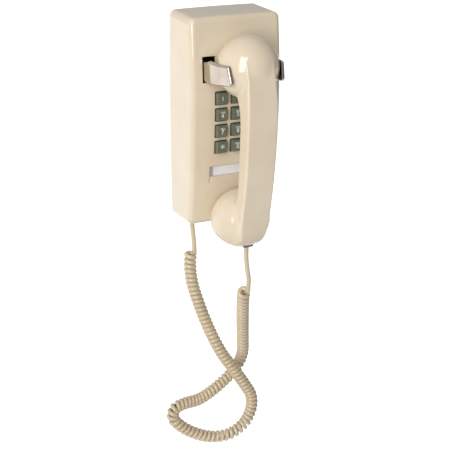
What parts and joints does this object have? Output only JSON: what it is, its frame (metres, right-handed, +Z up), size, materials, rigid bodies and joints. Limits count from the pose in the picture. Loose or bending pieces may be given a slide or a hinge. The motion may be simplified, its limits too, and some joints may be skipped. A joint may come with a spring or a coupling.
{
  "type": "slimline wall telephone",
  "caption": "Slim wall telephone with push keys, a chrome cradle, a handset hung upright on its front and a coiled cord.",
  "frame": {"origin": "on the wall face of the base plate, at the middle of the body's width and height", "axes": "+Z up, +Y into the wall, +X to the right of someone who faces the telephone"},
  "size_m": [0.1343, 0.1202, 0.5116],
  "materials": {
    "housing_plastic": "polished moulded beige plastic",
    "handset_plastic": "polished moulded beige plastic",
    "key_plastic": "moulded dark olive grey",
    "chrome": "polished plate",
    "steel": "zinc plated",
    "card": "uncoated card",
    "window": "clear moulded plastic",
    "board": "circuit board",
    "rubber": "satin",
    "copper": "wound enamelled wire",
    "brass": "satin",
    "grey_plastic": "moulded",
    "black_plastic": "moulded",
    "plug_plastic": "clear moulded plastic",
    "cord_vinyl": "smooth beige vinyl"
  },
  "bodies": {
    "root": {"housing": "housing_plastic", "base_plate": "steel", "line_plug": "grey_plastic", "housing_screw": "steel", "keypad_frame": "grey_plastic", "keypad_contact_sheet": "rubber", "keypad_board": "board", "keypad_screw_1": "steel", "keypad_screw_2": "steel", "keypad_screw_3": "steel", "keypad_screw_4": "steel", "number_card": "card", "card_window": "window", "cradle_pin": "steel", "cradle_mount": "steel", "hookswitch_block": "black_plastic", "hookswitch_leaf": "brass", "circuit_board": "board", "speech_network": "black_plastic", "handset_jack_base": "grey_plastic", "ringer_frame": "steel", "ringer_coil": "copper", "ringer_gong": "brass", "gong_screw": "steel", "cord_plug_base": "plug_plastic", "cord_lead_base": "cord_vinyl", "cord_coil": "cord_vinyl"},
    "handset": {"handset_body": "handset_plastic", "handset_jack": "grey_plastic", "receiver_cap": "handset_plastic", "receiver_capsule": "steel", "transmitter_cap": "handset_plastic", "transmitter_capsule": "steel", "transmitter_contact_cup": "black_plastic", "cord_plug_handset": "plug_plastic", "cord_lead_handset": "cord_vinyl"},
    "cradle_arms": {"cradle": "chrome"},
    "clapper": {"ringer_clapper": "brass"},
    "volume_slider": {"ringer_volume_slider": "black_plastic"},
    "button_1": {"key_1": "key_plastic"},
    "button_2": {"key_2": "key_plastic"},
    "button_3": {"key_3": "key_plastic"},
    "button_4": {"key_4": "key_plastic"},
    "button_5": {"key_5": "key_plastic"},
    "button_6": {"key_6": "key_plastic"},
    "button_7": {"key_7": "key_plastic"},
    "button_8": {"key_8": "key_plastic"},
    "button_9": {"key_9": "key_plastic"},
    "button_star": {"key_star": "key_plastic"},
    "button_0": {"key_0": "key_plastic"},
    "button_hash": {"key_hash": "key_plastic"}
  },
  "joints": [
    {"name": "handset_lift", "type": "slide", "parent": "root", "child": "handset", "axis": [0, -0.35, 0.9367], "range_m": [0, 0.06]},
    {"name": "cradle_hinge", "type": "hinge", "parent": "root", "child": "cradle_arms", "pos_m": [0, -0.03, 0.058], "axis": [-1, 0, 0], "range_deg": [0, 6.1]},
    {"name": "clapper_swing", "type": "hinge", "parent": "root", "child": "clapper", "pos_m": [-0.002, -0.02, -0.08], "axis": [0, 1, 0], "range_deg": [-4, 4]},
    {"name": "volume_slide", "type": "slide", "parent": "root", "child": "volume_slider", "axis": [1, 0, 0], "range_m": [0, 0.01]},
    {"name": "press_1", "type": "slide", "parent": "root", "child": "button_1", "axis": [0, 1, 0], "range_m": [0, 0.0032], "stiffness_N_per_m": 300},
    {"name": "press_2", "type": "slide", "parent": "root", "child": "button_2", "axis": [0, 1, 0], "range_m": [0, 0.0032], "stiffness_N_per_m": 300},
    {"name": "press_3", "type": "slide", "parent": "root", "child": "button_3", "axis": [0, 1, 0], "range_m": [0, 0.0032], "stiffness_N_per_m": 300},
    {"name": "press_4", "type": "slide", "parent": "root", "child": "button_4", "axis": [0, 1, 0], "range_m": [0, 0.0032], "stiffness_N_per_m": 300},
    {"name": "press_5", "type": "slide", "parent": "root", "child": "button_5", "axis": [0, 1, 0], "range_m": [0, 0.0032], "stiffness_N_per_m": 300},
    {"name": "press_6", "type": "slide", "parent": "root", "child": "button_6", "axis": [0, 1, 0], "range_m": [0, 0.0032], "stiffness_N_per_m": 300},
    {"name": "press_7", "type": "slide", "parent": "root", "child": "button_7", "axis": [0, 1, 0], "range_m": [0, 0.0032], "stiffness_N_per_m": 300},
    {"name": "press_8", "type": "slide", "parent": "root", "child": "button_8", "axis": [0, 1, 0], "range_m": [0, 0.0032], "stiffness_N_per_m": 300},
    {"name": "press_9", "type": "slide", "parent": "root", "child": "button_9", "axis": [0, 1, 0], "range_m": [0, 0.0032], "stiffness_N_per_m": 300},
    {"name": "press_star", "type": "slide", "parent": "root", "child": "button_star", "axis": [0, 1, 0], "range_m": [0, 0.0032], "stiffness_N_per_m": 300},
    {"name": "press_0", "type": "slide", "parent": "root", "child": "button_0", "axis": [0, 1, 0], "range_m": [0, 0.0032], "stiffness_N_per_m": 300},
    {"name": "press_hash", "type": "slide", "parent": "root", "child": "button_hash", "axis": [0, 1, 0], "range_m": [0, 0.0032], "stiffness_N_per_m": 300}
  ],
  "couplings": [
    {"joint": "cradle_hinge", "follows": "handset_lift", "rad_per_m": 1.745}
  ]
}
